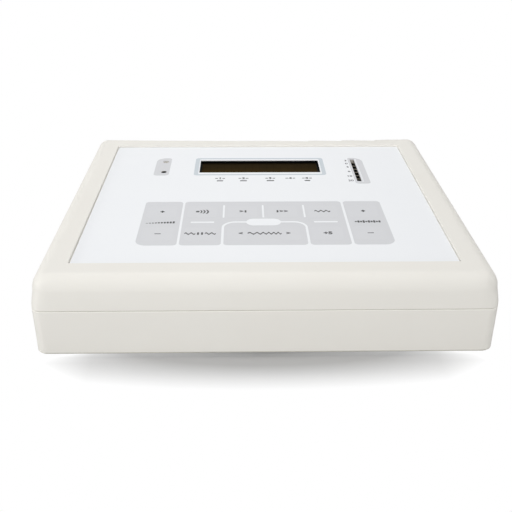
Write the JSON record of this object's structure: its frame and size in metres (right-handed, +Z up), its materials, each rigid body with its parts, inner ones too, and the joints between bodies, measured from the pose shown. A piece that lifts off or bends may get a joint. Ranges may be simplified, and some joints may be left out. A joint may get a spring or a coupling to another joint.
{
  "type": "diagnostic audiometer",
  "caption": "Desk-top audiometer: flat two-shell case, sunk control panel with display, level meter and flush push keys, sockets at the back.",
  "frame": {"origin": "on the desk, under the middle of the case's outline", "axes": "+X to the user's right, +Y to the back, +Z up"},
  "size_m": [0.296, 0.27, 0.057],
  "materials": {
    "top_cover": "satin moulded",
    "bottom_tray": "satin moulded",
    "graphic_overlay": "printed polyester film",
    "display_lens": "clear",
    "display_bezel": "matt black",
    "display_glass": "dark liquid crystal",
    "display_board": "circuit board",
    "panel_board": "circuit board",
    "main_board": "circuit board",
    "key_switches": "moulded",
    "meter_housing": "moulded",
    "meter_segments": "unlit",
    "lamp_spacer": "moulded",
    "indicator_lamp": "diffused",
    "microphone": "plain",
    "microphone_boot": "moulded",
    "rear_panel": "satin paint",
    "jack_nuts": "nickel plate",
    "inlet_nut": "nickel plate",
    "power_inlet": "moulded",
    "switch_housing": "moulded",
    "power_rocker": "moulded",
    "switch_wires": "insulated",
    "processor": "moulded",
    "signal_converters": "moulded",
    "output_amplifiers": "moulded",
    "output_relays": "moulded",
    "capacitors": "sleeved",
    "heat_sink": "black anodised",
    "voltage_regulator": "moulded",
    "cable_headers": "moulded",
    "cable_plugs": "moulded",
    "ribbon_cable": "flat cable",
    "case_screws": "zinc plate",
    "panel_screws": "zinc plate",
    "main_screws": "zinc plate",
    "left_phone_jack": "moulded",
    "right_phone_jack": "moulded",
    "bone_jack": "moulded",
    "response_jack": "moulded",
    "insert_phone_jack": "moulded",
    "feet": "moulded",
    "key_level_up": "printed polyester film on plastic",
    "key_level_down": "printed polyester film on plastic",
    "key_ear": "printed polyester film on plastic",
    "key_input": "printed polyester film on plastic",
    "key_output": "printed polyester film on plastic",
    "key_test": "printed polyester film on plastic",
    "key_interrupt": "printed polyester film on plastic",
    "key_frequency_down": "printed polyester film on plastic",
    "key_frequency_up": "printed polyester film on plastic",
    "key_extra_level": "printed polyester film on plastic",
    "key_masking_up": "printed polyester film on plastic",
    "key_masking_down": "printed polyester film on plastic"
  },
  "bodies": {
    "case": {"top_cover": "top_cover", "bottom_tray": "bottom_tray", "feet": "feet", "display_lens": "display_lens", "rear_panel": "rear_panel", "power_inlet": "power_inlet", "switch_housing": "switch_housing", "left_phone_jack": "left_phone_jack", "right_phone_jack": "right_phone_jack", "bone_jack": "bone_jack", "response_jack": "response_jack", "insert_phone_jack": "insert_phone_jack", "key_switches": "key_switches", "panel_board": "panel_board", "display_bezel": "display_bezel", "display_glass": "display_glass", "display_board": "display_board", "meter_housing": "meter_housing", "meter_segments": "meter_segments", "lamp_spacer": "lamp_spacer", "indicator_lamp": "indicator_lamp", "microphone": "microphone", "microphone_boot": "microphone_boot", "main_board": "main_board", "switch_wires": "switch_wires", "panel_screws": "panel_screws", "main_screws": "main_screws", "processor": "processor", "signal_converters": "signal_converters", "output_amplifiers": "output_amplifiers", "output_relays": "output_relays", "capacitors": "capacitors", "heat_sink": "heat_sink", "voltage_regulator": "voltage_regulator", "cable_headers": "cable_headers", "cable_plugs": "cable_plugs", "ribbon_cable": "ribbon_cable", "graphic_overlay": "graphic_overlay", "jack_nuts": "jack_nuts", "inlet_nut": "inlet_nut", "case_screws": "case_screws"},
    "key_level_up": {"key_level_up": "key_level_up"},
    "key_level_down": {"key_level_down": "key_level_down"},
    "key_ear": {"key_ear": "key_ear"},
    "key_input": {"key_input": "key_input"},
    "key_output": {"key_output": "key_output"},
    "key_test": {"key_test": "key_test"},
    "key_interrupt": {"key_interrupt": "key_interrupt"},
    "key_frequency_down": {"key_frequency_down": "key_frequency_down"},
    "key_frequency_up": {"key_frequency_up": "key_frequency_up"},
    "key_extra_level": {"key_extra_level": "key_extra_level"},
    "key_masking_up": {"key_masking_up": "key_masking_up"},
    "key_masking_down": {"key_masking_down": "key_masking_down"},
    "power_rocker": {"power_rocker": "power_rocker"}
  },
  "joints": [
    {"name": "key_level_up_press", "type": "slide", "parent": "case", "child": "key_level_up", "axis": [0, 0, 1], "range_m": [-0.0005, 0], "stiffness_N_per_m": 5000, "springref_m": 0.0001},
    {"name": "key_level_down_press", "type": "slide", "parent": "case", "child": "key_level_down", "axis": [0, 0, 1], "range_m": [-0.0005, 0], "stiffness_N_per_m": 5000, "springref_m": 0.0001},
    {"name": "key_ear_press", "type": "slide", "parent": "case", "child": "key_ear", "axis": [0, 0, 1], "range_m": [-0.0005, 0], "stiffness_N_per_m": 5000, "springref_m": 0.0001},
    {"name": "key_input_press", "type": "slide", "parent": "case", "child": "key_input", "axis": [0, 0, 1], "range_m": [-0.0005, 0], "stiffness_N_per_m": 5000, "springref_m": 0.0001},
    {"name": "key_output_press", "type": "slide", "parent": "case", "child": "key_output", "axis": [0, 0, 1], "range_m": [-0.0005, 0], "stiffness_N_per_m": 5000, "springref_m": 0.0001},
    {"name": "key_test_press", "type": "slide", "parent": "case", "child": "key_test", "axis": [0, 0, 1], "range_m": [-0.0005, 0], "stiffness_N_per_m": 5000, "springref_m": 0.0001},
    {"name": "key_interrupt_press", "type": "slide", "parent": "case", "child": "key_interrupt", "axis": [0, 0, 1], "range_m": [-0.0005, 0], "stiffness_N_per_m": 5000, "springref_m": 0.0001},
    {"name": "key_frequency_down_press", "type": "slide", "parent": "case", "child": "key_frequency_down", "axis": [0, 0, 1], "range_m": [-0.0005, 0], "stiffness_N_per_m": 5000, "springref_m": 0.0001},
    {"name": "key_frequency_up_press", "type": "slide", "parent": "case", "child": "key_frequency_up", "axis": [0, 0, 1], "range_m": [-0.0005, 0], "stiffness_N_per_m": 5000, "springref_m": 0.0001},
    {"name": "key_extra_level_press", "type": "slide", "parent": "case", "child": "key_extra_level", "axis": [0, 0, 1], "range_m": [-0.0005, 0], "stiffness_N_per_m": 5000, "springref_m": 0.0001},
    {"name": "key_masking_up_press", "type": "slide", "parent": "case", "child": "key_masking_up", "axis": [0, 0, 1], "range_m": [-0.0005, 0], "stiffness_N_per_m": 5000, "springref_m": 0.0001},
    {"name": "key_masking_down_press", "type": "slide", "parent": "case", "child": "key_masking_down", "axis": [0, 0, 1], "range_m": [-0.0005, 0], "stiffness_N_per_m": 5000, "springref_m": 0.0001},
    {"name": "power_rocker_tilt", "type": "hinge", "parent": "case", "child": "power_rocker", "pos_m": [-0.091, 0.12676, 0.026], "axis": [1, 0, 0], "range_deg": [0, 24]}
  ]
}
